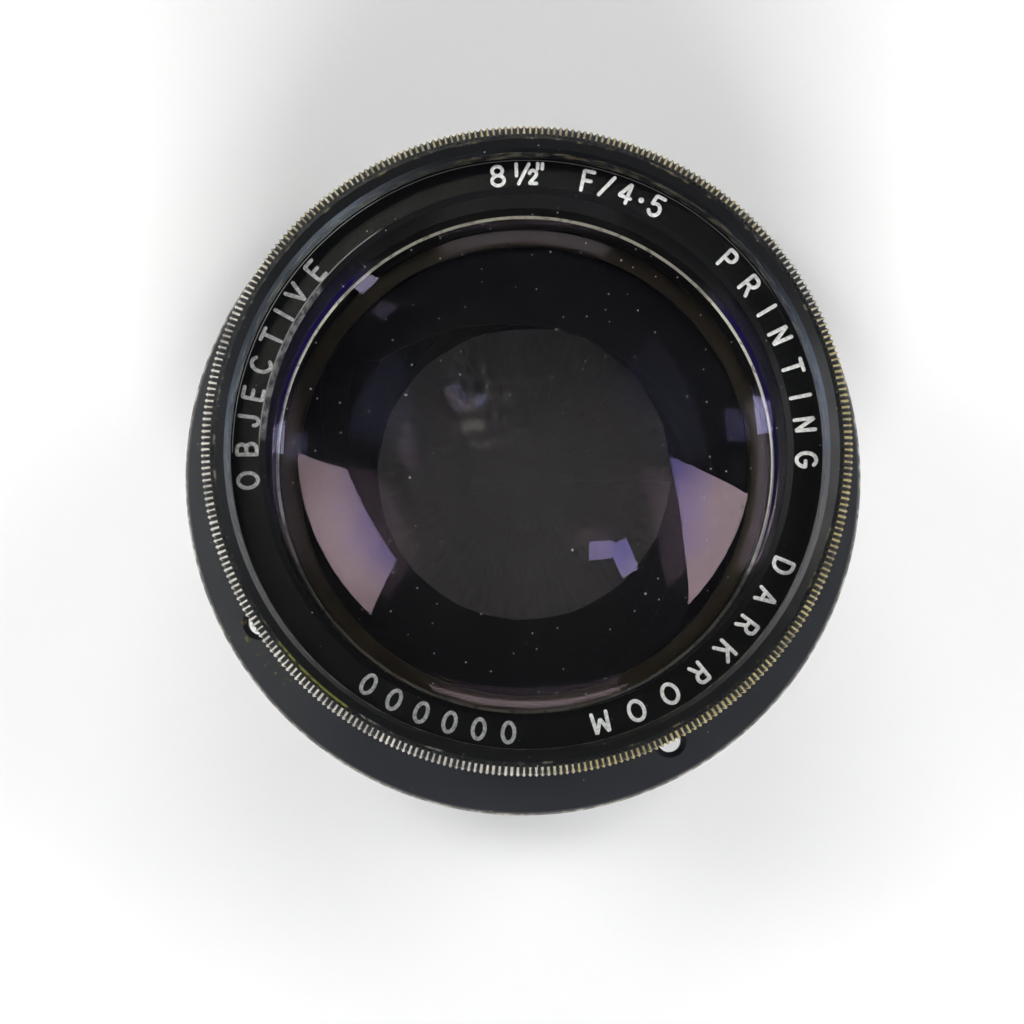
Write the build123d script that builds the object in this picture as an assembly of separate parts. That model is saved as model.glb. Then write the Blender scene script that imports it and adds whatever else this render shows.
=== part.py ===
from build123d import *

import math
import os

# Enlarger lens of 8 1/2 inch (215.9 mm) focus, f/4.5: a four-element lens in a lacquered brass
# barrel with an iris, standing on a screwed-on mounting flange.
# Millimetres. The origin is the centre of the flange's rear face, on the optical axis.
# +Z points to the front element, and the index mark of the aperture scale is on the +Y side.

# ---------------------------------------------------------------- driving dimensions
RIM_Z = 50.0                 # front rim above the flange's rear face
RIM_R = 32.3                 # over the knurl of the front rim
REAR_Z = -14.0               # rear rim, on which the lens can stand
PLAY = 0.05                  # radial clearance of the turning and slip fits
SLIP = 0.02                  # gap round a piece that is pushed or screwed on
CONTACT = 0.01               # gap between faces that rest on each other
EDGE = 0.3                   # broken edge of the turned rings

FLANGE_R = 37.3
FLANGE_T = 2.6
FLANGE_EDGE = 0.4            # bevel of the flange's front edge
FLANGE_REAR_EDGE = 0.2
SCREW_CIRCLE_R = 33.2
SCREW_COUNT = 4
SCREW_START = 29.0           # angle of the first screw hole from +X
SCREW_HOLE_R = 1.3
COUNTERSINK_R = 1.9

BARREL_THREAD_R = 30.6       # male thread that carries the flange
SPIGOT_R = 29.6              # plain stretch behind the flange, which the board's hole takes
BARREL_REAR_Z = -6.0
BARREL_SHOULDER_R = 31.3
BARREL_SHOULDER_Z = 5.6      # front side of the shoulder, where the aperture ring runs
BARREL_SLEEVE_R = 29.2
BARREL_FRONT_Z = 38.0
FRONT_BORE_R = 28.6          # female thread for the front cell
IRIS_BORE_R = 28.3
REAR_BORE_R = 26.65          # female thread for the rear cell

RING_FRONT_Z = 19.6
RING_KNURL_Z = 11.6          # front end of the aperture ring's grip
RING_R = 31.9
RING_SCALE_R = 31.3          # plain band that carries the f-numbers
COLLAR_R = 31.0              # fixed collar with the index mark
COLLAR_GROOVES_Z = (24.6, 25.8, 35.6)
GROOVE_DEPTH = 0.3
INDEX_LENGTH = 4.0           # engraved line that the f-numbers are read against
INDEX_WIDTH = 0.4
INDEX_DEPTH = 0.25

NECK_R = 31.3
KNURL_LOW_Z = 43.8
RIM_TEETH = 330
RING_TEETH = 180
REAR_TEETH = 160
RIM_DEPTH = 0.32             # depth of the teeth on the front rim
GRIP_DEPTH = 0.35            # depth of the teeth on the aperture ring and the rear cell
GRIP_BEVEL = 0.4
RIM_LAND_R = 31.43           # flat land on the rim
RIM_WALL_R = 31.03           # where the rim's toothed band joins its wall
RIM_BEVEL_R = 30.9
FILTER_MAJOR_R = 30.05
FILTER_MINOR_R = 29.6
FILTER_PITCH = 0.75
FILTER_TURNS = 6

NAME_Z = 44.6                # face of the engraved name ring
NAME_FLANGE_T = 3.6
NAME_BORE_R = 26.15
NAME_BEVEL = 0.6
SLEEVE_R = 27.6              # rear part of the name ring, which holds the front glass

FRONT_GLASS_R = 27.4
MIDDLE_GLASS_R = 24.5
REAR_GLASS_R = 23.0

FRONT_VERTEX_Z = 38.45
FRONT_CURVE = 60.0           # radii of curvature of the glass surfaces
FRONT_BACK_CURVE = 500.0
FRONT_THICK = 10.2
MIDDLE_VERTEX_Z = 21.3
MIDDLE_FRONT_CURVE = 130.0
MIDDLE_BACK_CURVE = 55.0
MIDDLE_THICK = 3.0
REAR_VERTEX_Z = 3.9
REAR_FRONT_CURVE = 300.0
CEMENT_CURVE = 56.0
REAR_BACK_CURVE = 88.0
REAR_NEGATIVE_THICK = 3.0
REAR_POSITIVE_THICK = 9.6

BLADES = 16
BLADE_T = 0.10
BLADE_PITCH = 0.15           # each blade lies on its own level
BLADE_IN_R = 20.8
BLADE_OUT_R = 26.2
BLADE_SPAN = 130.0
PIVOT_R = 27.5
ARM = 3.6                    # from a blade's pivot to its drive stud
EAR_R = 0.62
STUD_R = 0.28
STUD_PLAY = 0.05
CLOSE_TOTAL = 35.2           # blade angle from full aperture to f/22
CLOSE_REST = 15.0            # blade angle at rest, near f/7
BLADE_RATIO = -0.85          # blade angle over ring angle

BASE_Z = 7.0
BASE_T = 1.0
IRIS_GAP = 0.1
ACTUATOR_T = 0.8
ACTUATOR_RIM_T = 3.0
ACTUATOR_RIM_R = 27.0
SNAP_T = 0.8
SNAP_GROOVE = 0.5            # depth of the groove that the snap ring springs into
DRIVE_SCREW_R = 0.8
DRIVE_HEAD_R = 1.5
DRIVE_HEAD_DEPTH_R = RING_SCALE_R - 0.9
DRIVE_TIP_R = 27.3
DRIVE_ANGLES = (0.0, 180.0)
GRUB_R = 0.8
GRUB_Z = 33.0
GRUB_ANGLES = (30.0, 150.0, 270.0)
GRUB_SLOT = 0.3
GRUB_SLOT_DEPTH = 0.5

# ---------------------------------------------------------------- heights that follow
BLADES_Z = BASE_Z + BASE_T + IRIS_GAP
ACTUATOR_Z = BLADES_Z + BLADE_PITCH * BLADES
ACTUATOR_TOP = ACTUATOR_Z + ACTUATOR_T
ACTUATOR_RIM_TOP = ACTUATOR_TOP + ACTUATOR_RIM_T
DRIVE_Z = ACTUATOR_TOP + ACTUATOR_RIM_T / 2
SNAP_Z = ACTUATOR_RIM_TOP + PLAY


def ring(r_in, r_out, low, high):
    """A plain tube on the optical axis."""
    tube = Cylinder(r_out, high - low) - Cylinder(r_in, high - low + 2)
    return Pos(0, 0, (low + high) / 2) * tube


def disc(radius, low, high):
    return Pos(0, 0, (low + high) / 2) * Cylinder(radius, high - low)


def turned(points):
    """A turned piece from its half section, as (radius, height) corners."""
    outline = Polyline(*[(r, 0, z) for r, z in points], close=True)
    return revolve(make_face(outline), Axis.Z)


def tooth_outline(radius, depth, teeth):
    """Section of a band of straight V-shaped teeth."""
    corners = []
    for k in range(teeth):
        for r, share in ((radius, 0.0), (radius - depth, 0.5)):
            a = 2 * math.pi * (k + share) / teeth
            corners.append((r * math.cos(a), r * math.sin(a)))
    return make_face(Polyline(*corners, close=True))


def knurl(radius, depth, teeth, low, high, r_in, bevel):
    """A band of straight V-shaped teeth with both ends bevelled."""
    band = Pos(0, 0, low) * extrude(tooth_outline(radius, depth, teeth), high - low)
    envelope = turned([
        (r_in, low), (radius - bevel, low), (radius + 0.01, low + bevel),
        (radius + 0.01, high - bevel), (radius - bevel, high), (r_in, high),
    ])
    return band & envelope


def rim_knurl(r_in):
    """The teeth of the front rim, which run on over its front bevel."""
    bevel = RIM_R - RIM_LAND_R
    shoulder_z = RIM_Z - bevel
    lower = tooth_outline(RIM_R, RIM_DEPTH, RIM_TEETH)
    upper = tooth_outline(RIM_LAND_R, RIM_DEPTH, RIM_TEETH)
    band = Pos(0, 0, KNURL_LOW_Z) * extrude(lower, shoulder_z - KNURL_LOW_Z)
    band += loft([Pos(0, 0, shoulder_z) * lower, Pos(0, 0, RIM_Z) * upper], ruled=True)
    envelope = turned([
        (r_in, KNURL_LOW_Z), (RIM_LAND_R, KNURL_LOW_Z), (RIM_R + 0.01, KNURL_LOW_Z + bevel),
        (RIM_R + 0.01, RIM_Z), (r_in, RIM_Z),
    ])
    return band & envelope


def sag(curve, r):
    """Depth of a spherical surface at radius r."""
    return curve - math.sqrt(curve * curve - r * r)


def element(front_z, front_curve, back_z, back_curve, radius):
    """A glass element. A positive curve bulges towards the front, a negative one to the rear."""
    def height(z, curve, r):
        return z - math.copysign(sag(abs(curve), r), curve)

    half = radius / 2
    front_edge = (radius, 0, height(front_z, front_curve, radius))
    back_edge = (radius, 0, height(back_z, back_curve, radius))
    outline = [
        ThreePointArc((0, 0, front_z), (half, 0, height(front_z, front_curve, half)), front_edge),
        Line(front_edge, back_edge),
        ThreePointArc(back_edge, (half, 0, height(back_z, back_curve, half)), (0, 0, back_z)),
        Line((0, 0, back_z), (0, 0, front_z)),
    ]
    return revolve(make_face(Wire(outline)), Axis.Z)


def around(shape, angles):
    return [Rot(0, 0, a) * shape for a in angles]


def evenly(count, start=0.0):
    return [start + 360.0 * k / count for k in range(count)]


# ---------------------------------------------------------------- glass
FRONT_REAR_Z = FRONT_VERTEX_Z - FRONT_THICK
MIDDLE_REAR_Z = MIDDLE_VERTEX_Z - MIDDLE_THICK
CEMENT_Z = REAR_VERTEX_Z - REAR_NEGATIVE_THICK
REAR_REAR_Z = CEMENT_Z - REAR_POSITIVE_THICK
SPACER_BORE_R = FRONT_GLASS_R - 1.5
SPACER_TOP_Z = FRONT_REAR_Z + sag(FRONT_BACK_CURVE, SPACER_BORE_R) - CONTACT
MIDDLE_FRONT_EDGE_Z = MIDDLE_VERTEX_Z + sag(MIDDLE_FRONT_CURVE, MIDDLE_GLASS_R)
MIDDLE_BACK_EDGE_Z = MIDDLE_REAR_Z - sag(MIDDLE_BACK_CURVE, MIDDLE_GLASS_R)
REAR_FRONT_EDGE_Z = REAR_VERTEX_Z + sag(REAR_FRONT_CURVE, REAR_GLASS_R)


def make_front_element():
    return element(FRONT_VERTEX_Z, FRONT_CURVE, FRONT_REAR_Z, -FRONT_BACK_CURVE, FRONT_GLASS_R)


def make_middle_element():
    return element(
        MIDDLE_VERTEX_Z, -MIDDLE_FRONT_CURVE, MIDDLE_REAR_Z, MIDDLE_BACK_CURVE, MIDDLE_GLASS_R
    )


def make_rear_negative_element():
    return element(REAR_VERTEX_Z, -REAR_FRONT_CURVE, CEMENT_Z, CEMENT_CURVE, REAR_GLASS_R)


def make_rear_positive_element():
    return element(CEMENT_Z, CEMENT_CURVE, REAR_REAR_Z, -REAR_BACK_CURVE, REAR_GLASS_R)


# ---------------------------------------------------------------- front group
TAIL_Z = 11.9                # rear end of the front cell, above the iris
TAIL_R = 26.0
TAIL_LIP_R = 22.3
CELL_THREAD_LOW_Z = 22.0
SPACER_LOW_Z = MIDDLE_FRONT_EDGE_Z + CONTACT
NAME_SEAT_Z = NAME_Z - NAME_FLANGE_T
GLASS_SEAT_Z = 32.0


def make_front_cell():
    body = [(RIM_WALL_R, RIM_Z), (RIM_BEVEL_R, RIM_Z)]
    top = RIM_Z - (RIM_BEVEL_R - FILTER_MAJOR_R)
    body.append((FILTER_MAJOR_R, top))
    for k in range(FILTER_TURNS):
        z = top - FILTER_PITCH * k
        body.append((FILTER_MINOR_R, z - 0.25 * FILTER_PITCH))
        body.append((FILTER_MINOR_R, z - 0.55 * FILTER_PITCH))
        body.append((FILTER_MAJOR_R, z - 0.85 * FILTER_PITCH))
        body.append((FILTER_MAJOR_R, z - 1.00 * FILTER_PITCH))
    body += [
        (FILTER_MAJOR_R, NAME_SEAT_Z - PLAY),
        (SLEEVE_R + PLAY, NAME_SEAT_Z - PLAY),
        (SLEEVE_R + PLAY, GLASS_SEAT_Z),
        (FRONT_GLASS_R + PLAY, GLASS_SEAT_Z),
        (FRONT_GLASS_R + PLAY, MIDDLE_FRONT_EDGE_Z),
        (MIDDLE_GLASS_R + PLAY, MIDDLE_FRONT_EDGE_Z),
        (MIDDLE_GLASS_R + PLAY, MIDDLE_BACK_EDGE_Z - CONTACT),
        (TAIL_LIP_R, MIDDLE_BACK_EDGE_Z - CONTACT),
        (TAIL_LIP_R, TAIL_Z),
        (TAIL_R, TAIL_Z),
        (TAIL_R, CELL_THREAD_LOW_Z),
        (FRONT_BORE_R - PLAY, CELL_THREAD_LOW_Z),
        (FRONT_BORE_R - PLAY, BARREL_FRONT_Z),
        (NECK_R, BARREL_FRONT_Z),
        (NECK_R, KNURL_LOW_Z),
        (RIM_WALL_R, KNURL_LOW_Z),
    ]
    return turned(body) + rim_knurl(RIM_WALL_R)


def make_name_ring():
    low = FRONT_VERTEX_Z - sag(FRONT_CURVE, NAME_BORE_R) + SLIP
    outer = FILTER_MAJOR_R - PLAY
    return turned([
        (NAME_BORE_R, low), (SLEEVE_R, low), (SLEEVE_R, NAME_SEAT_Z),
        (outer, NAME_SEAT_Z), (outer, NAME_Z - 0.15), (outer - 0.15, NAME_Z),
        (NAME_BORE_R + NAME_BEVEL, NAME_Z),
        (NAME_BORE_R, NAME_Z - NAME_BEVEL),
    ])


def make_spacer_ring():
    step = SPACER_LOW_Z + 0.9
    return turned([
        (MIDDLE_GLASS_R - 0.8, SPACER_LOW_Z), (FRONT_GLASS_R, SPACER_LOW_Z),
        (FRONT_GLASS_R, SPACER_TOP_Z), (SPACER_BORE_R, SPACER_TOP_Z), (SPACER_BORE_R, step),
        (MIDDLE_GLASS_R - 0.8, step),
    ])


# ---------------------------------------------------------------- barrel
def drive_slot():
    """Arc-shaped slot in the barrel wall for a screw that joins ring and iris."""
    open_end = CLOSE_REST / abs(BLADE_RATIO)
    shut_end = -(CLOSE_TOTAL - CLOSE_REST) / abs(BLADE_RATIO)
    margin = 0.4
    height = 2 * (DRIVE_SCREW_R + PLAY)
    steps = [shut_end - margin, open_end + margin]
    window = ring(IRIS_BORE_R - 1, BARREL_SLEEVE_R + 1, DRIVE_Z - height / 2, DRIVE_Z + height / 2)
    reach = 2 * BARREL_SLEEVE_R
    sector = make_face(Polyline(
        (0, 0),
        (reach * math.cos(math.radians(steps[0])), reach * math.sin(math.radians(steps[0]))),
        (reach * math.cos(math.radians(steps[1])), reach * math.sin(math.radians(steps[1]))),
        close=True,
    ))
    slot = window & Pos(0, 0, DRIVE_Z - height) * extrude(sector, 2 * height)
    for a in steps:
        end = Rot(0, 90, 0) * Cylinder(height / 2, 4)
        slot += Rot(0, 0, a) * Pos(BARREL_SLEEVE_R - 0.6, 0, DRIVE_Z) * end
    return slot


def make_main_barrel():
    body = turned([
        (REAR_BORE_R, BARREL_REAR_Z), (SPIGOT_R, BARREL_REAR_Z), (SPIGOT_R, 0),
        (BARREL_THREAD_R, 0), (BARREL_THREAD_R, FLANGE_T), (BARREL_SHOULDER_R, FLANGE_T),
        (BARREL_SHOULDER_R, BARREL_SHOULDER_Z), (BARREL_SLEEVE_R, BARREL_SHOULDER_Z),
        (BARREL_SLEEVE_R, BARREL_FRONT_Z), (FRONT_BORE_R, BARREL_FRONT_Z),
        (FRONT_BORE_R, CELL_THREAD_LOW_Z - 0.5), (IRIS_BORE_R, CELL_THREAD_LOW_Z - 0.5),
        (IRIS_BORE_R, SNAP_Z + SNAP_T + SLIP), (IRIS_BORE_R + SNAP_GROOVE, SNAP_Z + SNAP_T + SLIP),
        (IRIS_BORE_R + SNAP_GROOVE, SNAP_Z - SLIP), (IRIS_BORE_R, SNAP_Z - SLIP),
        (IRIS_BORE_R, BASE_Z), (REAR_BORE_R, BASE_Z),
    ])
    for slot in around(drive_slot(), DRIVE_ANGLES):
        body -= slot
    return body


def make_mounting_flange():
    body = turned([
        (BARREL_THREAD_R + SLIP, 0), (FLANGE_R - FLANGE_REAR_EDGE, 0), (FLANGE_R, FLANGE_REAR_EDGE),
        (FLANGE_R, FLANGE_T - FLANGE_EDGE), (FLANGE_R - FLANGE_EDGE, FLANGE_T),
        (BARREL_THREAD_R + SLIP, FLANGE_T),
    ])
    hole = disc(SCREW_HOLE_R, -1, FLANGE_T + 1)
    sink_depth = COUNTERSINK_R - SCREW_HOLE_R
    hole += Pos(0, 0, FLANGE_T - sink_depth / 2) * Cone(SCREW_HOLE_R, COUNTERSINK_R, sink_depth)
    for cutter in around(Pos(SCREW_CIRCLE_R, 0, 0) * hole, evenly(SCREW_COUNT, SCREW_START)):
        body -= cutter
    return body


def make_index_collar():
    low = RING_FRONT_Z + PLAY
    top = BARREL_FRONT_Z - PLAY
    body = turned([
        (BARREL_SLEEVE_R + SLIP, low), (COLLAR_R - EDGE, low), (COLLAR_R, low + EDGE),
        (COLLAR_R, top - EDGE), (COLLAR_R - EDGE, top), (BARREL_SLEEVE_R + SLIP, top),
    ])
    for z in COLLAR_GROOVES_Z:
        body -= turned([
            (COLLAR_R - GROOVE_DEPTH, z), (COLLAR_R + 1, z - GROOVE_DEPTH - 1),
            (COLLAR_R + 1, z + GROOVE_DEPTH + 1),
        ])
    body -= Pos(0, COLLAR_R, low + INDEX_LENGTH / 2) * Box(INDEX_WIDTH, 2 * INDEX_DEPTH, INDEX_LENGTH)
    drill = Pos(COLLAR_R, 0, GRUB_Z) * Rot(0, 90, 0) * Cylinder(GRUB_R + SLIP, 6)
    for cutter in around(drill, GRUB_ANGLES):
        body -= cutter
    return body


def make_collar_grub_screws():
    low = BARREL_SLEEVE_R + SLIP
    high = COLLAR_R - EDGE
    length = high - low
    screw = Pos((low + high) / 2, 0, GRUB_Z) * Rot(0, 90, 0) * Cylinder(GRUB_R, length)
    screw -= Pos(high, 0, GRUB_Z) * Box(2 * GRUB_SLOT_DEPTH, GRUB_SLOT, 3 * GRUB_R)
    return Compound(children=around(screw, GRUB_ANGLES))


# ---------------------------------------------------------------- aperture ring and iris
def make_aperture_ring():
    low = BARREL_SHOULDER_Z + PLAY
    inner = BARREL_SLEEVE_R + PLAY
    body = turned([
        (inner, low), (RING_SCALE_R - 0.2, low), (RING_SCALE_R - 0.2, RING_KNURL_Z),
        (RING_SCALE_R, RING_KNURL_Z), (RING_SCALE_R, RING_FRONT_Z - EDGE),
        (RING_SCALE_R - EDGE, RING_FRONT_Z), (inner, RING_FRONT_Z),
    ])
    body += knurl(RING_R, GRIP_DEPTH, RING_TEETH, low, RING_KNURL_Z, RING_SCALE_R - 0.4, GRIP_BEVEL)
    drill = Rot(0, 90, 0) * Cylinder(DRIVE_SCREW_R, 10)
    pocket = Pos(DRIVE_HEAD_DEPTH_R + 5, 0, 0) * Rot(0, 90, 0) * Cylinder(DRIVE_HEAD_R + PLAY, 10)
    for a in DRIVE_ANGLES:
        place = Rot(0, 0, a) * Pos(0, 0, DRIVE_Z)
        body -= place * Pos(RING_SCALE_R, 0, 0) * drill
        body -= place * pocket
    return body


def make_aperture_drive_screws():
    def rod(radius, low, high):
        return Pos((low + high) / 2, 0, DRIVE_Z) * Rot(0, 90, 0) * Cylinder(radius, high - low)

    head_top = RING_SCALE_R - 0.1
    screw = rod(DRIVE_SCREW_R, DRIVE_TIP_R, DRIVE_HEAD_DEPTH_R)
    screw += rod(DRIVE_HEAD_R, DRIVE_HEAD_DEPTH_R, head_top)
    screw -= Pos(head_top, 0, DRIVE_Z) * Box(0.8, 0.4, 4 * DRIVE_HEAD_R)
    return Compound(children=around(screw, DRIVE_ANGLES))


def stud_place(closing):
    """Place of a drive stud for the blade whose pivot is on +X, at a blade angle in degrees."""
    a = math.radians(90 + closing) + math.asin(ARM / (2 * PIVOT_R))
    return PIVOT_R + ARM * math.cos(a), ARM * math.sin(a)


def cam_slot():
    """Cam slot of one blade: the path of its stud as seen from the turning actuator ring."""
    half = STUD_R + STUD_PLAY
    steps = 12
    path = []
    for k in range(-1, steps + 2):
        closing = CLOSE_TOTAL * k / steps
        turn = math.radians((closing - CLOSE_REST) / BLADE_RATIO)
        x, y = stud_place(closing)
        across = x * math.cos(turn) + y * math.sin(turn)
        up = y * math.cos(turn) - x * math.sin(turn)
        path.append((across, up))
    left, right = [], []
    for k in range(1, steps + 2):
        dx = path[k + 1][0] - path[k - 1][0]
        dy = path[k + 1][1] - path[k - 1][1]
        size = math.hypot(dx, dy)
        nx, ny = -dy / size * half, dx / size * half
        left.append((path[k][0] + nx, path[k][1] + ny))
        right.append((path[k][0] - nx, path[k][1] - ny))
    sides = [Spline(*left), Line(left[-1], right[-1]), Spline(*right[::-1]), Line(right[0], left[0])]
    slot = extrude(make_face(Wire(sides)), ACTUATOR_T + 1)
    for end in (path[1], path[steps + 1]):
        slot += Pos(end[0], end[1], (ACTUATOR_T + 1) / 2) * Cylinder(half, ACTUATOR_T + 1)
    return Pos(0, 0, ACTUATOR_Z - 1) * slot


def make_iris_actuator_ring():
    body = ring(BLADE_IN_R + 0.1, IRIS_BORE_R - 0.1, ACTUATOR_Z, ACTUATOR_TOP)
    for cutter in around(cam_slot(), evenly(BLADES)):
        body -= cutter
    body += ring(ACTUATOR_RIM_R, IRIS_BORE_R - 0.1, ACTUATOR_TOP, ACTUATOR_RIM_TOP)
    drill = Pos(IRIS_BORE_R, 0, DRIVE_Z) * Rot(0, 90, 0) * Cylinder(DRIVE_SCREW_R, 6)
    for cutter in around(drill, DRIVE_ANGLES):
        body -= cutter
    return body


def make_iris_base_ring():
    body = ring(BLADE_IN_R, IRIS_BORE_R - PLAY, BASE_Z, BASE_Z + BASE_T)
    hole = Pos(PIVOT_R, 0, BASE_Z + BASE_T / 2) * Cylinder(STUD_R + STUD_PLAY, 3)
    for cutter in around(hole, evenly(BLADES)):
        body -= cutter
    return body


def make_iris_snap_ring():
    body = ring(ACTUATOR_RIM_R - 0.5, IRIS_BORE_R + SNAP_GROOVE - PLAY, SNAP_Z, SNAP_Z + SNAP_T)
    return body - Pos(IRIS_BORE_R, 0, SNAP_Z) * Box(6, 3, 4)


def make_iris_blade(k):
    """Blade k at rest: its band, its pivot stud (down) and its drive stud (up)."""
    low = BLADES_Z + BLADE_PITCH * k
    half = math.radians(BLADE_SPAN / 2)
    mid_r = (BLADE_IN_R + BLADE_OUT_R) / 2

    def on(r, a):
        return r * math.cos(a), r * math.sin(a)

    start = math.radians(-2.0)
    end = 2 * half
    outline = [
        ThreePointArc(on(BLADE_OUT_R, start), on(BLADE_OUT_R, half), on(BLADE_OUT_R, end)),
        ThreePointArc(on(BLADE_OUT_R, end), on(mid_r, end + 0.1), on(BLADE_IN_R, end)),
        ThreePointArc(on(BLADE_IN_R, end), on(BLADE_IN_R, half), on(BLADE_IN_R, start)),
        Line(on(BLADE_IN_R, start), on(BLADE_OUT_R, start)),
    ]
    band = extrude(make_face(Wire(outline)), BLADE_T)
    sx, sy = stud_place(0)
    ear = Pos(PIVOT_R, 0, BLADE_T / 2) * Cylinder(EAR_R, BLADE_T)
    ear += Pos(sx, sy, BLADE_T / 2) * Cylinder(EAR_R, BLADE_T)
    inward = BLADE_OUT_R - 0.3
    web = make_face(Polyline(
        (inward, -EAR_R), (PIVOT_R, -EAR_R), (PIVOT_R + EAR_R * 0.9, 0.4), (sx + EAR_R * 0.9, sy),
        (sx + 0.2, sy + EAR_R * 0.9), (sx - 1.6, sy + EAR_R * 0.9), close=True,
    ))
    blade = band + ear + extrude(web, BLADE_T)
    blade = Pos(0, 0, low) * blade
    foot = BASE_Z + PLAY
    head = ACTUATOR_TOP - PLAY
    blade += Pos(PIVOT_R, 0, 0) * disc(STUD_R, foot, low + BLADE_T / 2)
    blade += Pos(sx, sy, 0) * disc(STUD_R, low + BLADE_T / 2, head)
    closed = Pos(PIVOT_R, 0, 0) * Rot(0, 0, CLOSE_REST) * Pos(-PIVOT_R, 0, 0) * blade
    return Rot(0, 0, 360.0 * k / BLADES) * closed


# ---------------------------------------------------------------- rear group
REAR_CELL_TOP_Z = BASE_Z - 0.4
REAR_LIP_R = 22.0
REAR_GRIP_R = 28.0
REAR_THREAD_R = 23.6         # female thread of the rear retaining ring
RETAINER_TOP_Z = REAR_REAR_Z + sag(REAR_BACK_CURVE, REAR_LIP_R) - SLIP
RETAINER_T = 3.6


def make_rear_cell():
    inner = REAR_GLASS_R + PLAY
    seat = REAR_FRONT_EDGE_Z + CONTACT
    grip_low = REAR_Z + 0.6
    body = turned([
        (REAR_LIP_R, REAR_CELL_TOP_Z), (REAR_LIP_R, seat), (inner, seat),
        (inner, RETAINER_TOP_Z + 0.3), (REAR_THREAD_R, RETAINER_TOP_Z + 0.3),
        (REAR_THREAD_R, REAR_Z + 2.0), (REAR_THREAD_R + 1.6, REAR_Z), (REAR_GRIP_R - 1.0, REAR_Z),
        (REAR_GRIP_R - 1.0, grip_low), (REAR_GRIP_R - 0.6, grip_low),
        (REAR_GRIP_R - 0.6, BARREL_REAR_Z - SLIP), (REAR_BORE_R - PLAY, BARREL_REAR_Z - SLIP),
        (REAR_BORE_R - PLAY, REAR_CELL_TOP_Z),
    ])
    grip_high = BARREL_REAR_Z - 1.4
    return body + knurl(
        REAR_GRIP_R, GRIP_DEPTH, REAR_TEETH, grip_low, grip_high, REAR_GRIP_R - 0.8, GRIP_BEVEL
    )


def make_rear_retaining_ring():
    low = RETAINER_TOP_Z - RETAINER_T
    body = turned([
        (REAR_LIP_R, RETAINER_TOP_Z), (REAR_LIP_R, low + 0.6), (REAR_LIP_R + 0.6, low),
        (REAR_THREAD_R - PLAY, low), (REAR_THREAD_R - PLAY, RETAINER_TOP_Z + 0.2),
        (REAR_GLASS_R - 0.2, RETAINER_TOP_Z),
    ])
    notch = Pos(REAR_LIP_R + 0.8, 0, low) * Box(4, 1.6, 2.4)
    for cutter in around(notch, (90.0, 270.0)):
        body -= cutter
    return body


# ---------------------------------------------------------------- all pieces
PIECES = {
    "front_cell": make_front_cell,
    "name_ring": make_name_ring,
    "front_element": make_front_element,
    "element_spacer_ring": make_spacer_ring,
    "middle_element": make_middle_element,
    "main_barrel": make_main_barrel,
    "mounting_flange": make_mounting_flange,
    "index_collar": make_index_collar,
    "collar_grub_screws": make_collar_grub_screws,
    "aperture_ring": make_aperture_ring,
    "aperture_drive_screws": make_aperture_drive_screws,
    "iris_actuator_ring": make_iris_actuator_ring,
    "iris_snap_ring": make_iris_snap_ring,
    "iris_base_ring": make_iris_base_ring,
    "rear_cell": make_rear_cell,
    "rear_negative_element": make_rear_negative_element,
    "rear_positive_element": make_rear_positive_element,
    "rear_retaining_ring": make_rear_retaining_ring,
}

os.makedirs("parts", exist_ok=True)
for name, make in PIECES.items():
    export_step(make(), f"parts/{name}.step")
for number in range(BLADES):
    export_step(make_iris_blade(number), f"parts/iris_blade_{number + 1:02d}.step")
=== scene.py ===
import math

import bmesh
import bpy
from mathutils import Matrix, Vector


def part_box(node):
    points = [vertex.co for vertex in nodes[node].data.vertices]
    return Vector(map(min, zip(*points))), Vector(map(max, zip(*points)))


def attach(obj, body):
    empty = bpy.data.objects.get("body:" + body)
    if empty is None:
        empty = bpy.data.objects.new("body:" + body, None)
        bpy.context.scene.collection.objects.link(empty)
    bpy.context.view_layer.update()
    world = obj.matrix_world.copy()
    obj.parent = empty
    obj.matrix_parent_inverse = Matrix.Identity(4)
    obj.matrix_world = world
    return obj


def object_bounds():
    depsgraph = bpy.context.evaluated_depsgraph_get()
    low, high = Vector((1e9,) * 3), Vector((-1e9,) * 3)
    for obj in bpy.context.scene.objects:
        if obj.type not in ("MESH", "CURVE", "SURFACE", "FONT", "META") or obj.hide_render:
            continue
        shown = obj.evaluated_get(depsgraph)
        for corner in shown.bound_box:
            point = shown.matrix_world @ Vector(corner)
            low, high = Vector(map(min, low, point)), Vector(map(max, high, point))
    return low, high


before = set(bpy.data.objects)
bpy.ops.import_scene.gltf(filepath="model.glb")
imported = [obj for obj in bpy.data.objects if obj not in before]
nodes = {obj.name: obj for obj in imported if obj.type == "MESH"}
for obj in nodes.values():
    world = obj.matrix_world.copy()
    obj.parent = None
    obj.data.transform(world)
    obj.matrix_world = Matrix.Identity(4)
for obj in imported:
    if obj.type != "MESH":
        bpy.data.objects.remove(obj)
cad_low, cad_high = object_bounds()
MM = 0.001

# ---------------------------------------------------------------- places taken from the frame
RIM_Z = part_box("front_cell")[1].z
RIM_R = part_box("front_cell")[1].x
NAME_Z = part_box("name_ring")[1].z
SPACER_STEP_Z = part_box("element_spacer_ring")[0].z + 0.9 * MM
FLOOR_Z = cad_low.z
RING_TOP_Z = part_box("aperture_ring")[1].z
COLLAR_LOW_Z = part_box("index_collar")[0].z
COLLAR_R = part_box("index_collar")[1].x
RING_SCALE_R = 31.3 * MM      # plain band of the aperture ring

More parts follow.
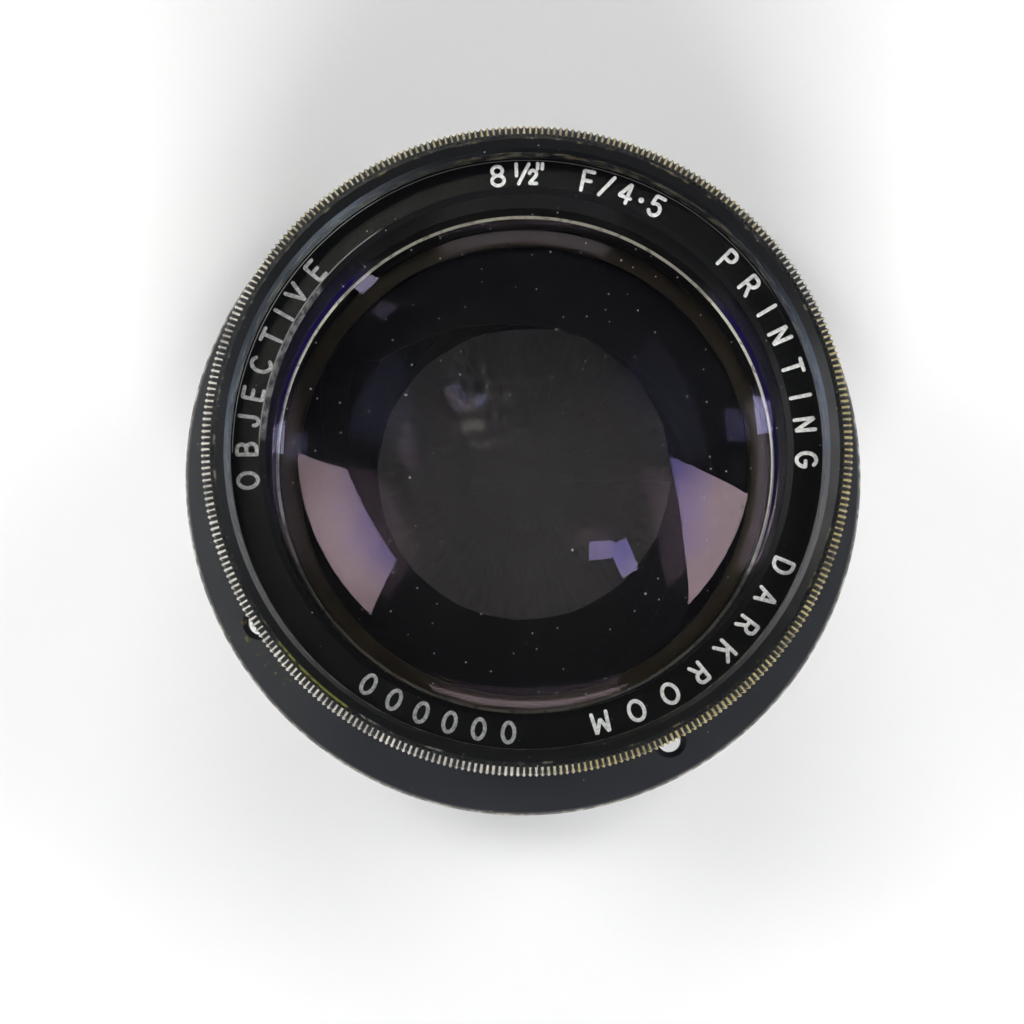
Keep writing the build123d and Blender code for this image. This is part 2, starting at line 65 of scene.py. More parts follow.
# The same levels and radii in millimetres, and others of the CAD, for the materials.
RIM_CREST = RIM_R / MM
RIM_TOP = RIM_Z / MM
NAME_TOP = NAME_Z / MM
FLANGE_R, FLANGE_TOP = 37.3, 2.6
RING_GRIP_R = 31.9
REAR_GRIP_R = 28.0
NAME_BORE_R = 26.15
GLASS_FACE_SPLIT = 31.8       # the front face of the front glass lies above, its rear face below
RIM_TEETH = 330
RING_TEETH = 180
REAR_TEETH = 160

# Where wear, stains and painted highlights lie, from one angle to another in degrees anticlockwise
# from +X.
SCUFF_HIGHLIGHT_PATCH = (143.0, 175.0)      # pale grey patch inside the lettering of the name ring: partly scuffs, partly painted highlight
SCUFF_HIGHLIGHT_LINE = (126.0, 176.0)     # thin pale line beside it: partly a scratch, partly painted highlight
TARNISH = (-142.0, -125.0)    # streak on the rim
CRUST = (-152.0, -138.0)      # dried drops on the flange
BRASSY_SIDE = (-75.0, 15.0)   # the knurl's yellow stretches
BRASSY_TOP = (50.0, 135.0)


# ---------------------------------------------------------------- shader helpers
class Shader:
    """A node material, built from the top down with short calls. Coordinates are in millimetres."""

    def __init__(self, name):
        self.material = bpy.data.materials.new(name)
        self.material.use_nodes = True
        self.tree = self.material.node_tree
        self.tree.nodes.clear()
        self.output = self.tree.nodes.new("ShaderNodeOutputMaterial")
        place = self.node("ShaderNodeTexCoord").outputs["Object"]
        self.place = self.vector("SCALE", place, scale=1 / MM)
        flat = self.vector("MULTIPLY", self.place, (1, 1, 0))
        self.radius = self.vector("LENGTH", flat, out="Value")
        split = self.node("ShaderNodeSeparateXYZ", Vector=self.place)
        self.x, self.y, self.height = split.outputs
        self.angle = self.math("ARCTAN2", self.y, self.x)

    def node(self, kind, **inputs):
        made = self.tree.nodes.new(kind)
        for name, value in inputs.items():
            self.feed(made.inputs[name.replace("_", " ")], value)
        return made

    def feed(self, socket, value):
        if isinstance(value, bpy.types.NodeSocket):
            self.tree.links.new(value, socket)
        elif isinstance(value, (tuple, list)) and socket.type == "RGBA" and len(value) == 3:
            socket.default_value = (*value, 1.0)
        else:
            socket.default_value = value

    def math(self, operation, a, b=None, clamp=False):
        made = self.tree.nodes.new("ShaderNodeMath")
        made.operation = operation
        made.use_clamp = clamp
        for socket, value in zip(made.inputs, (a, b)):
            if value is not None:
                self.feed(socket, value)
        return made.outputs[0]

    def vector(self, operation, a, b=None, scale=None, out="Vector"):
        made = self.tree.nodes.new("ShaderNodeVectorMath")
        made.operation = operation
        self.feed(made.inputs[0], a)
        if b is not None:
            self.feed(made.inputs[1], b)
        if scale is not None:
            made.inputs["Scale"].default_value = scale
        return made.outputs[out]

    def ramp(self, value, low, high, to_low=0.0, to_high=1.0):
        """A smooth step from to_low to to_high as the value goes from low to high."""
        made = self.tree.nodes.new("ShaderNodeMapRange")
        made.interpolation_type = "SMOOTHSTEP"
        for socket, item in zip(made.inputs, (value, low, high, to_low, to_high)):
            self.feed(socket, item)
        return made.outputs[0]

    def noise(self, scale, detail=3.0, stretch=(1, 1, 1), shift=0.0):
        place = self.vector("MULTIPLY", self.place, stretch)
        place = self.vector("ADD", place, (shift, shift, shift))
        made = self.node("ShaderNodeTexNoise", Vector=place, Scale=scale, Detail=detail)
        made.inputs["Roughness"].default_value = 0.55
        return made.outputs["Fac"]

    def specks(self, scale, size, shift=0.0, flat=False):
        """Small round dots, a share of them missing, as a mask. Flat ones lie in plan view."""
        place = self.vector("ADD", self.place, (shift, shift, shift))
        cells = self.node("ShaderNodeTexVoronoi", Vector=place, Scale=scale)
        cells.voronoi_dimensions = "2D" if flat else "3D"
        near = self.ramp(cells.outputs["Distance"], size, size * 0.5)
        pick = self.node("ShaderNodeSeparateColor", Color=cells.outputs["Color"]).outputs[0]
        return self.math("MULTIPLY", near, self.ramp(pick, 0.55, 0.6))

    def both(self, *masks):
        """Where all the masks are set."""
        made = masks[0]
        for mask in masks[1:]:
            made = self.math("MULTIPLY", made, mask, clamp=True)
        return made

    def either(self, *masks):
        """Where any of the masks is set."""
        made = masks[0]
        for mask in masks[1:]:
            made = self.math("MAXIMUM", made, mask, clamp=True)
        return made

    def within(self, value, low, high, soft):
        """A mask that is 1 between two values and fades out over soft."""
        up = self.ramp(value, low - soft, low)
        down = self.ramp(value, high, high + soft, 1.0, 0.0)
        return self.both(up, down)

    def sector(self, low, high, soft=3.0):
        """A mask for a range of angles, in degrees anticlockwise from +X, between -180 and 180."""
        turn = self.math("MULTIPLY", self.angle, 180 / math.pi)
        return self.within(turn, low, high, soft)

    def blend(self, mask, a, b):
        """a where the mask is 0 and b where it is 1, for colours or numbers."""
        made = self.tree.nodes.new("ShaderNodeMix")
        colour = isinstance(a, (tuple, list)) or getattr(a, "type", "") == "RGBA"
        made.data_type = "RGBA" if colour else "FLOAT"
        sockets = [s for s in made.inputs if s.type == made.data_type or
                   (made.data_type == "FLOAT" and s.type == "VALUE")]
        factor = made.inputs[0]
        values = [s for s in sockets if s.name in ("A", "B")]
        self.feed(factor, mask)
        self.feed(values[0], a)
        self.feed(values[1], b)
        return [s for s in made.outputs if s.type == values[0].type][0]

    def bump(self, height, depth_mm):
        made = self.node("ShaderNodeBump", Height=height)
        made.inputs["Distance"].default_value = depth_mm * MM
        return made.outputs["Normal"]

    def repaint(self, finish, mask, colour):
        """Lays a colour over a finish where the mask is set."""
        socket = finish.inputs["Base Color"]
        self.feed(socket, self.blend(mask, socket.links[0].from_socket, colour))

    def surface(self, **inputs):
        made = self.node("ShaderNodeBsdfPrincipled", **inputs)
        self.tree.links.new(made.outputs[0], self.output.inputs["Surface"])
        return made


def give(node, material):
    """Puts a material on every slot of a CAD node."""
    mesh = nodes[node].data
    if not mesh.materials:
        mesh.materials.append(material)
    for k in range(len(mesh.materials)):
        mesh.materials[k] = material


# ---------------------------------------------------------------- materials
BLACK = (0.0030, 0.0031, 0.0036)
BRASS = (0.40, 0.33, 0.13)
WORN = (0.62, 0.60, 0.54)
LACQUER_SHINE = 0.35          # how strongly the lacquer reflects, against 0.5 for plain plastic


def lacquer(shader, worn, base=BLACK, rough=0.28, depth=0.004, brassy=0.35, cloudy=0.06):
    """Black lacquer over brass: fine orange peel, dust, and bare metal where worn is 1.
    brassy is the share of yellow metal in it; the rest has gone silvery. cloudy is how far the
    lacquer's roughness varies."""
    haze = shader.noise(0.35, 4, shift=3)
    grain = shader.noise(9, 3, shift=7)
    dust = shader.both(shader.specks(1.1, 0.10, 5), shader.ramp(haze, 0.45, 0.6))
    tone = shader.blend(haze, base, tuple(1.2 * c for c in base))
    spot = shader.ramp(shader.noise(2.5, 2, shift=11), 0.35, 0.65, -0.3, 0.3)
    metal = shader.blend(shader.math("ADD", brassy, spot, clamp=True), WORN, BRASS)
    colour = shader.blend(worn, tone, metal)
    colour = shader.blend(dust, colour, (0.30, 0.29, 0.27))
    roughness = shader.math("ADD", shader.ramp(haze, 0.3, 0.7, rough, rough + cloudy),
                            shader.math("MULTIPLY", worn, 0.08))
    return shader.surface(
        Base_Color=colour, Metallic=worn, Roughness=roughness, Specular_IOR_Level=LACQUER_SHINE,
        Normal=shader.bump(grain, depth),
    )


def ridge_wear(s, teeth, least, most, start=0.0):
    """Bare metal along the ridges of straight teeth, wider in some places than in others."""
    turn = s.math("MULTIPLY", s.math("ADD", s.angle, start), teeth / (2 * math.pi))
    share = s.math("FRACT", s.math("ADD", turn, 0.5))
    away = s.math("MULTIPLY", s.math("ABSOLUTE", s.math("SUBTRACT", share, 0.5)), 2.0)
    reach = s.ramp(s.noise(0.9, 3, shift=1), 0.3, 0.7, least, most)
    return s.ramp(away, s.math("ADD", reach, 0.12), reach)


def front_cell_material():
    """Bare ridges and shoulder on the knurl, a tarnished streak on the rim, matt black inside."""
    s = Shader("front_cell_lacquer")
    ridge = ridge_wear(s, RIM_TEETH, 0.12, 0.40)
    patchy = s.ramp(s.noise(0.25, 2, shift=21), 0.3, 0.6, 0.5, 1.0)
    crest = s.both(ridge, s.ramp(s.radius, RIM_CREST - 1.0, RIM_CREST - 0.88), patchy,
                   s.ramp(s.height, RIM_TOP - 6.4, RIM_TOP - 6.2))
    streak = s.both(s.within(s.radius, 30.88, 31.06, 0.06), s.sector(*TARNISH, 0.4),
                    s.ramp(s.height, RIM_TOP - 0.4, RIM_TOP - 0.2),
                    s.ramp(s.noise(1.6, 3, shift=33), 0.32, 0.50))
    edge = s.both(s.within(s.radius, 30.80, 31.0, 0.05),
                  s.ramp(s.height, RIM_TOP - 0.15, RIM_TOP - 0.05))
    edge = s.both(edge, s.ramp(s.noise(0.8, 4, shift=9), 0.56, 0.66, 0.0, 0.2))
    shoulder = s.both(s.ramp(s.radius, RIM_CREST - 0.28, RIM_CREST - 0.18),
                      s.ramp(s.height, RIM_TOP - 1.5, RIM_TOP - 1.2), patchy)
    lines = s.both(s.within(s.radius, 29.55, 29.64, 0.03),
                   s.ramp(s.height, NAME_TOP - 0.1, NAME_TOP))
    lines = s.both(lines, s.ramp(s.noise(0.6, 3, shift=13), 0.45, 0.65, 0.0, 0.15))
    brassy = s.either(s.sector(*BRASSY_SIDE, 20.0),
                      s.math("MULTIPLY", s.sector(*BRASSY_TOP, 20.0), 0.7))
    finish = lacquer(s, s.either(crest, shoulder, edge, lines), brassy=brassy)
    tarnish = s.blend(s.noise(2.0, 3, shift=35), (0.055, 0.060, 0.006), (0.15, 0.145, 0.025))
    inside = s.both(s.ramp(s.radius, 28.6, 28.8, 1.0, 0.0), s.ramp(s.height, 41.0, 41.2, 1.0, 0.0))
    s.repaint(finish, streak, tarnish)
    s.repaint(finish, inside, (0.0015, 0.0015, 0.0016))
    s.feed(finish.inputs["Roughness"],
           s.blend(inside, finish.inputs["Roughness"].links[0].from_socket, 0.75))
    return s.material


def name_ring_material():
    """Pale grey marks just inside the lettering on the upper left, a patch and a thin line beside
    it, partly scuffs and partly painted highlight where the ring catches light; and a thin pale line
    near its outer edge, a painted highlight, full on the upper left and fainter along the top.
    """
    s = Shader("name_ring_lacquer")
    grain = s.ramp(s.noise(1.3, 4, shift=41), 0.35, 0.65, 0.15, 1.0)
    # Partly scuffs, partly painted highlight: the pale grey patch and line on the upper left, where
    # the ring catches light.
    scuff_highlight_patch = s.both(s.within(s.radius, 26.22, 26.84, 0.05), s.sector(*SCUFF_HIGHLIGHT_PATCH, 3.0), grain)
    scuff_highlight_patch = s.math("MULTIPLY", scuff_highlight_patch, 0.75)
    line = s.both(s.within(s.radius, 26.74, 26.82, 0.03), s.sector(*SCUFF_HIGHLIGHT_LINE, 4.0))
    # Painted highlight: a thin pale line near the ring's outer edge, full on the upper left and
    # fainter along the top.
    thin_line_lit_sector = s.either(s.sector(124.0, 178.0, 8.0),
                      s.math("MULTIPLY", s.sector(38.0, 126.0, 8.0), 0.4))
    painted_thin_line_highlight = s.both(s.within(s.radius, 29.40, 29.46, 0.03), thin_line_lit_sector)
    scuffs_and_highlights = s.both(s.either(scuff_highlight_patch, line, painted_thin_line_highlight),
                   s.ramp(s.height, NAME_TOP - 0.7, NAME_TOP - 0.6))
    edge = s.both(s.within(s.radius, NAME_BORE_R - 0.05, NAME_BORE_R + 0.05, 0.04),
                  s.ramp(s.height, 32.3, 32.6, 1.0, 0.0))
    edge = s.both(edge, s.ramp(s.noise(1.4, 4, shift=4), 0.45, 0.6, 0.0, 0.25))
    finish = lacquer(s, edge, rough=0.22, depth=0.002, cloudy=0.02)
    bore = s.both(s.ramp(s.radius, NAME_BORE_R + 0.05, NAME_BORE_R + 0.15, 1.0, 0.0),
                  s.ramp(s.height, NAME_TOP - 0.8, NAME_TOP - 0.65, 1.0, 0.0))
    s.feed(finish.inputs["Specular IOR Level"], s.ramp(bore, 0.0, 1.0, LACQUER_SHINE, 0.05))
    s.repaint(finish, scuffs_and_highlights, (0.20, 0.20, 0.20))
    return s.material


def flange_material():
    """Blue-black lacquer, bare along its front edge, with a few dried drops."""
    s = Shader("flange_lacquer")
    rim = s.both(s.ramp(s.radius, FLANGE_R - 0.28, FLANGE_R - 0.1),
                 s.ramp(s.height, FLANGE_TOP - 0.7, FLANGE_TOP - 0.4),
                 s.ramp(s.noise(0.9, 4, shift=2), 0.42, 0.62, 0.2, 0.7))
    finish = lacquer(s, rim, base=(0.0173, 0.0180, 0.0208), rough=0.38, brassy=0.1)
    crust = s.both(s.sector(*CRUST, 2.0), s.within(s.radius, 33.2, 35.6, 0.3),
                   s.ramp(s.noise(1.1, 4, shift=52), 0.60, 0.66))
    s.repaint(finish, crust, (0.12, 0.095, 0.03))
    return s.material


def plain_lacquer(name):
    """Black lacquer with a few bare specks."""
    s = Shader(name)
    worn = s.both(s.specks(0.5, 0.05, 17), s.ramp(s.noise(0.2, 2), 0.5, 0.6))
    lacquer(s, worn, rough=0.3)
    return s.material


def ring_material():
    """Black lacquer, bare along the ridges of the aperture ring's grip."""
    s = Shader("aperture_ring_lacquer")
    crest = s.both(ridge_wear(s, RING_TEETH, 0.05, 0.30),
                   s.ramp(s.radius, RING_GRIP_R - 0.28, RING_GRIP_R - 0.18),
                   s.ramp(s.noise(0.5, 3, shift=6), 0.35, 0.6, 0.3, 1.0))
    lacquer(s, crest)
    return s.material


def rear_cell_material():
    """Black lacquer, bare along the ridges of the rear rim."""
    s = Shader("rear_cell_lacquer")
    crest = s.both(ridge_wear(s, REAR_TEETH, 0.05, 0.28),
                   s.ramp(s.radius, REAR_GRIP_R - 0.3, REAR_GRIP_R - 0.2),
                   s.ramp(s.noise(0.5, 3, shift=8), 0.35, 0.6, 0.3, 1.0))
    lacquer(s, crest)
    return s.material


def spacer_material():
    """Matt black, with a near-white line on the lip of its step: partly worn bare metal, partly a
    painted highlight for the lit edge, strongest at the left and right and weaker along the top.
    """
    s = Shader("spacer_optical_black")
    step = SPACER_STEP_Z / MM
    lip = s.both(s.within(s.radius, 23.6, 23.98, 0.05),
                 s.within(s.height, step - 0.30, step + 0.1, 0.05))
    # Painted highlight: the line on the lip is strongest where the left and right lights fall, about
    # half as strong along the top, and faint elsewhere.
    lit_sides = s.either(s.sector(140.0, 181.0, 6.0), s.sector(-181.0, -170.0, 6.0),
                     s.sector(-22.0, 40.0, 6.0))
    above = s.math("MULTIPLY", s.sector(30.0, 150.0, 8.0), 0.45)
    share = s.either(lit_sides, above, 0.08)
    scratch = s.ramp(s.noise(1.8, 4, stretch=(1, 1, 4), shift=5), 0.34, 0.46, 0.45, 1.0)
    tone = s.blend(s.both(lip, share, scratch), (0.004, 0.004, 0.004), (0.95, 0.92, 0.74))
    s.surface(Base_Color=tone, Roughness=0.6, Specular_IOR_Level=0.1,
              Normal=s.bump(s.noise(14, 3), 0.01))
    return s.material


def optical_black(name):
    """Matt black that keeps stray light down."""
    s = Shader(name)
    tone = s.blend(s.noise(0.8, 3), (0.011, 0.011, 0.011), (0.0198, 0.0198, 0.0198))
    s.surface(Base_Color=tone, Roughness=0.45, Normal=s.bump(s.noise(16, 3), 0.008))
    return s.material


def metal_material(name, base, rough):
    """Turned or rolled metal with faint streaks."""
    s = Shader(name)
    streak = s.noise(1.5, 3, stretch=(1, 1, 8))
    tone = s.blend(streak, base, tuple(1.5 * c for c in base))
    s.surface(Base_Color=tone, Metallic=0.9, Roughness=s.ramp(streak, 0.3, 0.7, rough, rough + 0.15),
              Normal=s.bump(s.noise(10, 2), 0.003))
    return s.material


def glass_material(name, veil_at, tint, ior, through, haze_amount=0.0, body=(0.97, 0.97, 0.97)):
    """Coated glass. veil_at lays the coating's colour tint, painted reflections and what lies on the
    glass, through is the light let past in shadows, and body the colour of the glass, darkened in
    the rear glass partly as painted shade."""
    s = Shader(name)
    glass = s.node("ShaderNodeBsdfPrincipled", Base_Color=body, Roughness=0.0, IOR=ior)
    glass.inputs["Transmission Weight"].default_value = 1.0
    haze = s.ramp(s.noise(0.12, 4, shift=31), 0.4, 0.75, 0.0, haze_amount)
    colour, share = veil_at(s, glass, tint, haze)
    veil = s.node("ShaderNodeBsdfDiffuse", Color=colour)
    mixed = s.node("ShaderNodeMixShader")
    s.feed(mixed.inputs[0], share)
    s.tree.links.new(glass.outputs[0], mixed.inputs[1])
    s.tree.links.new(veil.outputs[0], mixed.inputs[2])
    clear = s.node("ShaderNodeBsdfTransparent", Color=(through, 0.95 * through, 0.92 * through))
    path = s.node("ShaderNodeLightPath")
    out = s.node("ShaderNodeMixShader")
    s.tree.links.new(path.outputs["Is Shadow Ray"], out.inputs[0])
    s.tree.links.new(mixed.outputs[0], out.inputs[1])
    s.tree.links.new(clear.outputs[0], out.inputs[2])
    s.tree.links.new(out.outputs[0], s.output.inputs["Surface"])
    return s.material


def front_veil(s, glass, tint, haze):
    """On the front glass: dust; a reflection tint, violet towards the middle and leaning towards +Y,
    painted to give the reflections their tones, and almost black on the front face, so that it
    hardly reflects; and a painted violet reflection at the edge, on the left and right. Returns the
    veil's colour and its share."""
    front = s.ramp(s.height, GLASS_FACE_SPLIT - 0.1, GLASS_FACE_SPLIT + 0.1)
    cloud = s.ramp(s.noise(0.09, 2, shift=61), 0.35, 0.65, -1.5, 1.5)
    lift = s.math("MULTIPLY", s.y, 0.25)
    inner = s.ramp(s.math("SUBTRACT", s.math("ADD", s.radius, cloud), lift), 15.5, 22.0)
    # Painted reflection colour: the tint's violet middle leans towards +Y, and the front face's tint
    # is almost black so that it hardly reflects.
    s.feed(glass.inputs["Specular Tint"],
           s.blend(front, s.blend(inner, (0.17, 0.14, 0.38), tint), (0.004, 0.005, 0.014)))
    dust = s.both(front_dust(s), front)
    # Painted reflection: a violet band laid as diffuse colour at the glass's edge, on the left and
    # right.
    painted_edge_reflection = s.both(s.within(s.radius, NAME_BORE_R - 0.6, NAME_BORE_R - 0.2, 0.2), front,
                    s.either(s.sector(135.0, 181.0, 10.0), s.sector(-181.0, -170.0, 10.0),
                             s.sector(-20.0, 35.0, 10.0)))
    veiled = s.blend(painted_edge_reflection, (0.4, 0.4, 0.45), (0.035, 0.02, 0.26))
    colour = s.blend(dust, veiled, (0.80, 0.78, 0.74))
    return colour, s.either(haze, dust, s.math("MULTIPLY", painted_edge_reflection, 0.55))


def inner_veil(s, glass, tint, haze):
    """On the inner glasses: a plain coating and a faint ring of haze."""
    s.feed(glass.inputs["Specular Tint"], tint)
    return (0.42, 0.39, 0.37), s.both(haze, s.within(s.radius, 9.0, 14.0, 4.0))


def front_dust(s):
    """Dust on the front glass: specks of two sizes, thicker in some places than in others."""
    fine = s.specks(0.40, 0.044, 71, flat=True)
    coarse = s.specks(0.125, 0.020, 75, flat=True)
    thin = s.ramp(s.noise(0.10, 2, shift=77), 0.35, 0.6, 0.35, 1.0)
    return s.math("MULTIPLY", s.either(fine, coarse), thin)


def cemented_material():
    """The front half of the cemented pair: clear, with a faint reflection of its own."""
    s = Shader("cemented_glass")
    clear = s.node("ShaderNodeBsdfTransparent", Color=(0.90, 0.90, 0.92))
    shine = s.node("ShaderNodeBsdfGlossy", Color=(0.5, 0.5, 0.5), Roughness=0.02)
    share = s.node("ShaderNodeFresnel", IOR=1.35)
    out = s.node("ShaderNodeMixShader")
    s.tree.links.new(share.outputs[0], out.inputs[0])
    s.tree.links.new(clear.outputs[0], out.inputs[1])
    s.tree.links.new(shine.outputs[0], out.inputs[2])
    s.tree.links.new(out.outputs[0], s.output.inputs["Surface"])
    return s.material


def paint_material(name, dull, clean):
    """Paint in an engraving, dull in some places and clean in others."""
    s = Shader(name)
    age = s.ramp(s.noise(3.0, 3, shift=2), 0.35, 0.65)
    tone = s.blend(age, dull, clean)
    s.surface(Base_Color=tone, Roughness=0.55, Normal=s.bump(s.noise(12, 2), 0.01))
    return s.material


give("front_cell", front_cell_material())
give("name_ring", name_ring_material())
give("mounting_flange", flange_material())
give("index_collar", plain_lacquer("index_collar_lacquer"))
give("main_barrel", plain_lacquer("barrel_lacquer"))
give("aperture_ring", ring_material())
give("rear_cell", rear_cell_material())
give("element_spacer_ring", spacer_material())
give("rear_retaining_ring", optical_black("retainer_black"))
give("iris_base_ring", metal_material("blackened_brass", (0.05, 0.042, 0.03), 0.45))
give("iris_actuator_ring", nodes["iris_base_ring"].data.materials[0])
give("iris_snap_ring", metal_material("spring_steel", (0.25, 0.25, 0.26), 0.35))
give("collar_grub_screws", nodes["iris_snap_ring"].data.materials[0])
give("aperture_drive_screws", nodes["iris_snap_ring"].data.materials[0])
blade_steel = metal_material("blackened_blade_steel", (0.022, 0.022, 0.025), 0.38)
for name in nodes:
    if name.startswith("iris_blade"):
        give(name, blade_steel)
give("front_element",
     glass_material("coated_front_glass", front_veil, (0.43, 0.32, 0.36), 1.61, 0.9, 0.002))
give("middle_element",
     glass_material("middle_glass", inner_veil, (0.05, 0.035, 0.05), 1.58, 0.45, 0.012))
# The rear glass's dark warm body colour is partly the glass's own yellowing, partly painted shade
# for the dim floor seen through the lens.
give("rear_positive_element",
     glass_material("rear_glass", inner_veil, (0.10, 0.07, 0.07), 1.61, 0.13,
                    body=(0.72, 0.68, 0.66)))
give("rear_negative_element", cemented_material())
PAINT = paint_material("white_inlay_paint", (0.62, 0.62, 0.60), (0.86, 0.86, 0.83))
OLD_PAINT = paint_material("aged_inlay_paint", (0.20, 0.20, 0.19), (0.42, 0.42, 0.41))


# ---------------------------------------------------------------- lettering
def arc(cx, cy, rx, ry, start, end):
    """Points of an elliptical arc; angles in degrees, anticlockwise from the right."""
    count = max(4, int(abs(end - start) / 15))
    steps = [math.radians(start + (end - start) * k / count) for k in range(count + 1)]
    return [(cx + rx * math.cos(a), cy + ry * math.sin(a)) for a in steps]


# Strokes of each letter in a box one unit high. The width follows from the strokes.
GLYPHS = {
    "0": [arc(0.30, 0.5, 0.30, 0.5, 90, 450)],
    "1": [[(0.12, 1.0), (0.12, 0.0)]],
    "2": [arc(0.28, 0.72, 0.27, 0.28, 170, -25) + [(0.02, 0.0), (0.58, 0.0)]],
    "4": [[(0.44, 0.0), (0.44, 1.0), (0.0, 0.28), (0.60, 0.28)]],
    "5": [[(0.52, 1.0), (0.10, 1.0), (0.05, 0.56)] + arc(0.26, 0.31, 0.29, 0.31, 128, -150)],
    "6": [arc(0.29, 0.30, 0.28, 0.30, 150, 510) + [(0.12, 0.66), (0.44, 1.0)]],
    "8": [arc(0.32, 0.76, 0.26, 0.24, 90, 450), arc(0.32, 0.26, 0.32, 0.26, 90, 450)],
    "'": [[(0.06, 1.0), (0.06, 0.74)]],
    "A": [[(0.0, 0.0), (0.33, 1.0), (0.66, 0.0)], [(0.11, 0.32), (0.55, 0.32)]],
    "B": [[(0.0, 0.0), (0.0, 1.0), (0.28, 1.0)] + arc(0.28, 0.76, 0.22, 0.24, 80, -90)
          + [(0.0, 0.52)], [(0.28, 0.52)] + arc(0.30, 0.26, 0.26, 0.26, 85, -90) + [(0.0, 0.0)]],
    "C": [arc(0.36, 0.5, 0.36, 0.5, 48, 312)],
    "D": [[(0.0, 0.0), (0.0, 1.0), (0.22, 1.0)] + arc(0.22, 0.5, 0.38, 0.5, 85, -90)
          + [(0.0, 0.0)]],
    "E": [[(0.50, 1.0), (0.0, 1.0), (0.0, 0.0), (0.50, 0.0)], [(0.0, 0.52), (0.42, 0.52)]],
    "F": [[(0.48, 1.0), (0.0, 1.0), (0.0, 0.0)], [(0.0, 0.52), (0.40, 0.52)]],
    "G": [arc(0.36, 0.5, 0.36, 0.5, 50, 340) + [(0.70, 0.46), (0.42, 0.46)]],
    "J": [[(0.42, 1.0), (0.42, 0.24)] + arc(0.21, 0.24, 0.21, 0.24, -10, -175)],
    "I": [[(0.08, 1.0), (0.08, 0.0)]],
    "K": [[(0.0, 1.0), (0.0, 0.0)], [(0.54, 1.0), (0.0, 0.40)], [(0.18, 0.60), (0.58, 0.0)]],
    "M": [[(0.0, 0.0), (0.08, 1.0), (0.39, 0.30), (0.70, 1.0), (0.78, 0.0)]],
    "N": [[(0.0, 0.0), (0.0, 1.0), (0.56, 0.0), (0.56, 1.0)]],
    "O": [arc(0.38, 0.5, 0.38, 0.5, 90, 450)],
    "P": [[(0.0, 0.0), (0.0, 1.0), (0.28, 1.0)] + arc(0.28, 0.74, 0.24, 0.26, 85, -90)
          + [(0.0, 0.48)]],
    "R": [[(0.0, 0.0), (0.0, 1.0), (0.28, 1.0)] + arc(0.28, 0.74, 0.24, 0.26, 85, -90)
          + [(0.0, 0.48)], [(0.28, 0.48), (0.56, 0.0)]],
    "T": [[(0.0, 1.0), (0.58, 1.0)], [(0.29, 1.0), (0.29, 0.0)]],
    "V": [[(0.0, 1.0), (0.32, 0.0), (0.64, 1.0)]],
    "/": [[(0.0, -0.02), (0.54, 1.02)]],
    ".": [arc(0.07, 0.44, 0.05, 0.05, 0, 360)],
}


def glyph_width(letter):
    return max(x for stroke in GLYPHS[letter] for x, _ in stroke)


CAP_STEPS = 4                 # steps in the round end of a stroke
PAINT_THICK = 0.02 * MM       # how far the paint stands proud


def stroke_ribbon(mesh, stroke, width, thick, place):
    """A pillow-shaped ribbon with round ends along a stroke. place maps u, v, height to a point."""
    points = [Vector(p) for p in stroke]
    along = [(points[min(k + 1, len(points) - 1)] - points[max(k - 1, 0)]).normalized()
             for k in range(len(points))]
    half = width / 2
    stations = []
    for k in range(CAP_STEPS):
        a = math.pi / 2 * k / CAP_STEPS
        end = points[0] - along[0] * half * math.cos(a)
        stations.append((end, along[0], max(math.sin(a), 0.05)))
    stations += [(p, t, 1.0) for p, t in zip(points, along)]
    for k in reversed(range(CAP_STEPS)):
        a = math.pi / 2 * k / CAP_STEPS
        end = points[-1] + along[-1] * half * math.cos(a)
        stations.append((end, along[-1], max(math.sin(a), 0.05)))
    section = [(-1.0, 0.0), (-0.8, 0.8), (0.0, 1.0), (0.8, 0.8), (1.0, 0.0)]
    rows = []
    for point, tangent, swell in stations:
        side = Vector((-tangent.y, tangent.x)) * half * swell
        rows.append([mesh.verts.new(place(*(point + side * s), thick * h)) for s, h in section])
    for low, high in zip(rows, rows[1:]):
        for k in range(len(section) - 1):
            mesh.faces.new((low[k], high[k], high[k + 1], low[k + 1]))


def finish_mesh(mesh, name, material, body):
    """Makes an object of the mesh and lets it ride on a body."""
    bmesh.ops.recalc_face_normals(mesh, faces=mesh.faces)
    data = bpy.data.meshes.new(name)
    mesh.to_mesh(data)
    mesh.free()
    data.materials.append(material)
    data.shade_smooth()
    piece = bpy.data.objects.new(name, data)
    bpy.context.scene.collection.objects.link(piece)
    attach(piece, body)
    return piece


def fillet_corners(stroke):
    """Eases the corners of a straight-sided stroke, as a round cutter does."""
    steps, share, most = 3, 0.22, 0.06
    made = [Vector(stroke[0])]
    for before, corner, after in zip(stroke, stroke[1:], stroke[2:]):
        before, corner, after = Vector(before), Vector(corner), Vector(after)
        cut = min((corner - before).length * share, (after - corner).length * share, most)
        start = corner + (before - corner).normalized() * cut
        end = corner + (after - corner).normalized() * cut
        for k in range(steps + 1):
            t = k / steps
            made.append(start * (1 - t) ** 2 + corner * 2 * t * (1 - t) + end * t * t)
    made.append(Vector(stroke[-1]))
    return [tuple(p) for p in made]


def write(mesh, text, size, width, spacing, place):
    """Writes text centred on u = 0. size is the letters' height, spacing the gap between them."""
    widths = [0.3 if c == " " else glyph_width(c) for c in text]
    total = sum(widths) * size + spacing * (len(text) - 1)
    u = -total / 2
    for letter, letter_width in zip(text, widths):
        for stroke in GLYPHS.get(letter, []):
            drawn = [(u + x * size, y * size) for x, y in fillet_corners(stroke)]
            stroke_ribbon(mesh, drawn, width, PAINT_THICK, place)
        u += letter_width * size + spacing


